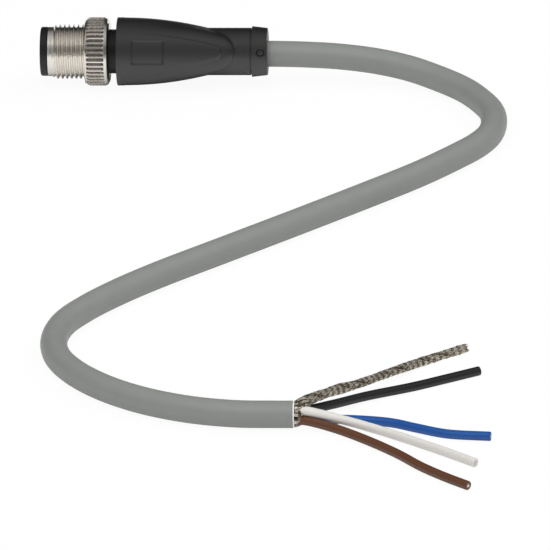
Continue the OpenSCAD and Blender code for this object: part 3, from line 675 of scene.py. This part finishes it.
def makeGrip(s):
    flank = innerArch["flankRadius"]
    innerDrop = flank - math.sqrt(flank ** 2 - innerArch["flankLength"] ** 2)
    outerOutline = archOutline(s["taper"], outerArch, s["radius"] - s["barrelRadius"])
    innerOutline = archOutline(s["front"], innerArch, innerDrop)
    # rows along the grip, closer together round its front edge, the recess and the arches' noses
    recessFrom, recessTo = recessSet["start"] - 0.5, recessSet["start"] + recessSet["length"] + 0.1
    nosesFrom, nosesTo = innerArch["nose"] - 4.9, outerArch["nose"] + 0.5
    xs = np.unique(np.round(np.concatenate([
        s["front"] + s["edge"] * (1 - np.cos(np.linspace(0, math.pi / 2, 6))),
        np.arange(s["front"] + 0.5, recessFrom, s["rowStep"]), np.arange(recessFrom, recessTo, s["fineStep"]),
        np.arange(recessTo + 0.1, nosesFrom, s["rowStep"]), np.arange(nosesFrom, nosesTo, s["fineStep"]),
        np.arange(nosesTo + 0.1, s["collar"], 0.5)]), 3))
    xs = xs[xs < s["collar"] - 1.4 * s["seam"]]
    angle = np.linspace(0, 2 * math.pi, s["columns"], endpoint=False)
    x, phi = np.meshgrid(xs, angle, indexing="ij")
    body = bodyRadius(x, s)
    # the surface lies where the solid ends on the way out: halve the stretch that it must be in
    low, high = body.copy(), np.full(x.shape, s["radius"] + 0.3)
    for halving in range(26):
        r = (low + high) / 2
        z = r * np.sin(phi)
        outer = archSurface(x, r, z, outerArch, outerOutline, s["taper"], s)
        inner = archSurface(x, r, z, innerArch, innerOutline, s["taper"], s)
        raised = np.where(x < s["taper"], r - body, np.minimum(outer, inner))
        solid = -smoothMax(-(r - body), -raised, s["blend"])
        low, high = np.where(solid < 0, r, low), np.where(solid < 0, high, r)
    radius = (low + high) / 2
    z = radius * np.sin(phi)
    # the bare recess: away is the distance outside its rounded rectangle
    halfLength, halfWidth, corner = recessSet["length"] / 2, recessSet["width"] / 2, recessSet["corner"]
    qx = np.abs(x - recessSet["start"] - halfLength) - halfLength + corner
    qz = np.abs(z) - halfWidth + corner
    away = np.hypot(np.maximum(qx, 0), np.maximum(qz, 0)) + np.minimum(np.maximum(qx, qz), 0) - corner
    sink = np.clip(-away / recessSet["slope"], 0, 1)
    radius = radius - recessSet["depth"] * sink * sink * (3 - 2 * sink) * (np.cos(phi) > 0)
    tilt = math.radians(s["roll"])

    def ring(xAt, r, drop=0.0):
        xAt = np.broadcast_to(xAt, s["columns"])
        r = np.broadcast_to(r, s["columns"])
        # angle 0 faces forward in the grip's own frame, which lies turned by roll
        y, z = -r * np.cos(angle), r * np.sin(angle)
        z, y = z * math.cos(tilt) - y * math.sin(tilt), y * math.cos(tilt) + z * math.sin(tilt)
        return np.stack([xAt, y, z - drop], 1)

    rows = [ring(s["neckStart"], s["boreRadius"]), ring(s["neckStart"], s["neckRadius"] - 0.1),
            ring(s["neckStart"] + 0.1, s["neckRadius"]), ring(s["front"] - 0.12, s["neckRadius"]),
            ring(s["front"] - 0.03, s["neckRadius"] + 0.04), ring(s["front"], s["neckRadius"] + 0.14),
            ring(s["front"], s["radius"] - s["edge"] - 0.3)]
    rows += [ring(at, r) for at, r in zip(xs, radius)]
    collarRadius = s["barrelRadius"] + s["collarStep"]
    rear = collarRadius - s["collarFall"]
    seam = s["barrelRadius"] - s["seam"]
    rows += [ring(s["collar"] - 1.3 * s["seam"], s["barrelRadius"]), ring(s["collar"] - s["seam"], seam),
             ring(s["collar"], seam), ring(s["collar"], collarRadius - 0.05),
             ring(s["collar"] + 0.05, collarRadius)]
    # the collar with its round mark, a bare ring cut into the front
    halfRing = markSet["ring"] / 2
    for at in np.linspace(s["collar"] + 0.2, s["end"] - 0.2, 24):
        fall = s["collarFall"] * (at - s["collar"]) / (s["end"] - s["collar"])
        r = np.full(s["columns"], collarRadius - fall)
        away = np.hypot(at - markSet["at"], r * np.sin(angle)) - (markSet["radius"] - halfRing)
        groove = np.clip(1 - np.abs(away) / halfRing, 0, 1) * (np.cos(angle) > 0)
        rows.append(ring(at, r - markSet["depth"] * np.sqrt(groove)))
    rows += [ring(s["end"] - 0.12, rear), ring(s["end"] - 0.03, rear - 0.05), ring(s["end"], rear - 0.15),
             ring(s["end"], s["boreRadius"] + 0.12, s["boreDrop"]),
             ring(s["end"] - 0.1, s["boreRadius"], s["boreDrop"])]
    count = s["columns"]
    last = (len(rows) - 1) * count
    faces = gridFaces(len(rows), count)
    faces += [(last + j, last + (j + 1) % count, (j + 1) % count, j) for j in range(count)]
    # the first five rows, the neck, take the plastic in painted shade
    faceMaterial = [int(k < 5 * count) for k in range(len(faces))]  # the neck is the first five rows
    return meshObject("grip", np.vstack(rows), faces, [gripPlastic, neckShadePlastic], faceMaterial, sharp=32)


grip = makeGrip(gripSet)
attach(grip, "plug")
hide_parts("grip_body")
print("grip made")


# floor, world and lamps

# seen and lit are the shares of plain white that the camera and other surfaces get from the floor
floorSet = {"half": 8000.0, "z": -7.505, "grey": 0.9, "seen": 0.94, "lit": 0.8}
# ceiling is what reflections show from the horizon in front (0) over the top (0.5) to the one behind (1)
worldSet = {"ceiling": [(0.0, 0.6), (0.06, 0.4), (0.17, 0.29), (0.27, 0.44), (0.36, 0.8), (0.46, 0.6),
                        (0.58, 0.42), (0.7, 0.24), (0.8, 0.06), (1.0, 0.03)],
            "green": 0.985, "blue": 0.96, "sides": (0.3, 0.8), "sideLevel": 0.4, "high": (0.3, 0.5),
            "soft": 0.36}
lampSet = {"keyLamp": {"place": (-0.1, -0.9, 1.75), "size": 1.4, "power": 24},
           "fillLamp": {"place": (1.1, 0.3, 1.4), "size": 1.2, "power": 9}}
lampAim = (0.05, -0.08, 0)


def makeFloor(s):
    # the floor looks white where it is lit, and keeps a soft share of the shadow
    material, tree = newMaterial("matt white card")
    path = addNode(tree, "ShaderNodeLightPath")
    lit = addNode(tree, "ShaderNodeBsdfDiffuse", {"Color": (s["grey"], s["grey"], s["grey"], 1)})
    white = addNode(tree, "ShaderNodeEmission", {"Color": (1, 1, 1, 1), "Strength": 1.0})
    # each kind of ray sees its own share of plain white, and all others see the lit card
    share = None
    for ray, part in (("Is Camera Ray", s["seen"]), ("Is Diffuse Ray", s["lit"])):
        links = {0: path.outputs[ray]}
        if share:
            links[2] = share.outputs[0]
        share = addNode(tree, "ShaderNodeMath", {"operation": "MULTIPLY_ADD", 1: part, 2: 0.0}, links)
    shader = addNode(tree, "ShaderNodeMixShader", links={0: share.outputs[0], 1: lit.outputs[0],
                                                         2: white.outputs[0]})
    finishMaterial(tree, shader)
    corners = [(x * s["half"], y * s["half"], s["z"]) for x, y in ((-1, -1), (1, -1), (1, 1), (-1, 1))]
    floor = meshObject("floorCard", corners, [(0, 1, 2, 3)], [material])


def makeWorld(s):
    # white behind the part; in reflections a dim room with a brighter ceiling
    world = bpy.data.worlds.new("studio")
    world.use_nodes = True
    tree = world.node_tree
    tree.nodes.clear()
    path = addNode(tree, "ShaderNodeLightPath")
    place = addNode(tree, "ShaderNodeTexCoord")
    axes = addNode(tree, "ShaderNodeSeparateXYZ", links={0: place.outputs["Generated"]})
    # turn is 0 at the horizon in front, 0.5 overhead and 1 at the horizon behind
    ahead = addNode(tree, "ShaderNodeMath", {"operation": "MULTIPLY", 1: -1.0}, {0: axes.outputs["Y"]})
    over = addNode(tree, "ShaderNodeMath", {"operation": "ARCTAN2"},
                   {0: axes.outputs["Z"], 1: ahead.outputs[0]})
    turn = addNode(tree, "ShaderNodeMath", {"operation": "DIVIDE", 1: math.pi}, {0: over.outputs[0]})
    ramp = addNode(tree, "ShaderNodeValToRGB", links={"Fac": turn.outputs[0]})
    for k, (height, level) in enumerate(s["ceiling"]):
        stop = ramp.color_ramp.elements[k] if k < 2 else ramp.color_ramp.elements.new(height)
        stop.position = height
        stop.color = (level, level * s["green"], level * s["blue"], 1)
    # the room's sides are darker than what is straight ahead, up to about the height of a lamp
    aside = addNode(tree, "ShaderNodeMath", {"operation": "ABSOLUTE"}, {0: axes.outputs["X"]})
    sides = addNode(tree, "ShaderNodeMapRange", {"From Min": s["sides"][0], "From Max": s["sides"][1],
                                                 "To Min": 1.0, "To Max": s["sideLevel"]},
                    {"Value": aside.outputs[0]})
    above = addNode(tree, "ShaderNodeMapRange", {"From Min": s["high"][0], "From Max": s["high"][1]},
                    {"Value": turn.outputs[0]})
    dim = addNode(tree, "ShaderNodeMath", {"operation": "MAXIMUM"},
                  {0: sides.outputs["Result"], 1: above.outputs["Result"]})
    room = addNode(tree, "ShaderNodeBackground", links={"Color": ramp.outputs["Color"],
                                                        "Strength": dim.outputs[0]})
    soft = addNode(tree, "ShaderNodeBackground", {"Color": (1, 1, 1, 1), "Strength": s["soft"]})
    white = addNode(tree, "ShaderNodeBackground", {"Color": (1, 1, 1, 1), "Strength": 1.0})
    glossy = addNode(tree, "ShaderNodeMixShader", links={0: path.outputs["Is Glossy Ray"],
                                                         1: soft.outputs[0], 2: room.outputs[0]})
    shown = addNode(tree, "ShaderNodeMixShader", links={0: path.outputs["Is Camera Ray"],
                                                        1: glossy.outputs[0], 2: white.outputs[0]})
    addNode(tree, "ShaderNodeOutputWorld", links={"Surface": shown.outputs[0]})
    bpy.context.scene.world = world


def makeLamp(name, s):
    # a round lamp in metres and watts, left out of reflections, which show the room alone
    data = bpy.data.lights.new(name, "AREA")
    data.shape, data.size, data.energy = "DISK", s["size"], s["power"]
    lamp = bpy.data.objects.new(name, data)
    lamp.location = s["place"]
    lamp.rotation_mode = "QUATERNION"
    lamp.rotation_quaternion = (Vector(lampAim) - Vector(s["place"])).to_track_quat("-Z", "Y")
    lamp.visible_glossy = False
    bpy.context.scene.collection.objects.link(lamp)


makeFloor(floorSet)
makeWorld(worldSet)
for name, values in lampSet.items():
    makeLamp(name, values)
bpy.context.scene.view_settings.view_transform = "Standard"
print("stage lit")
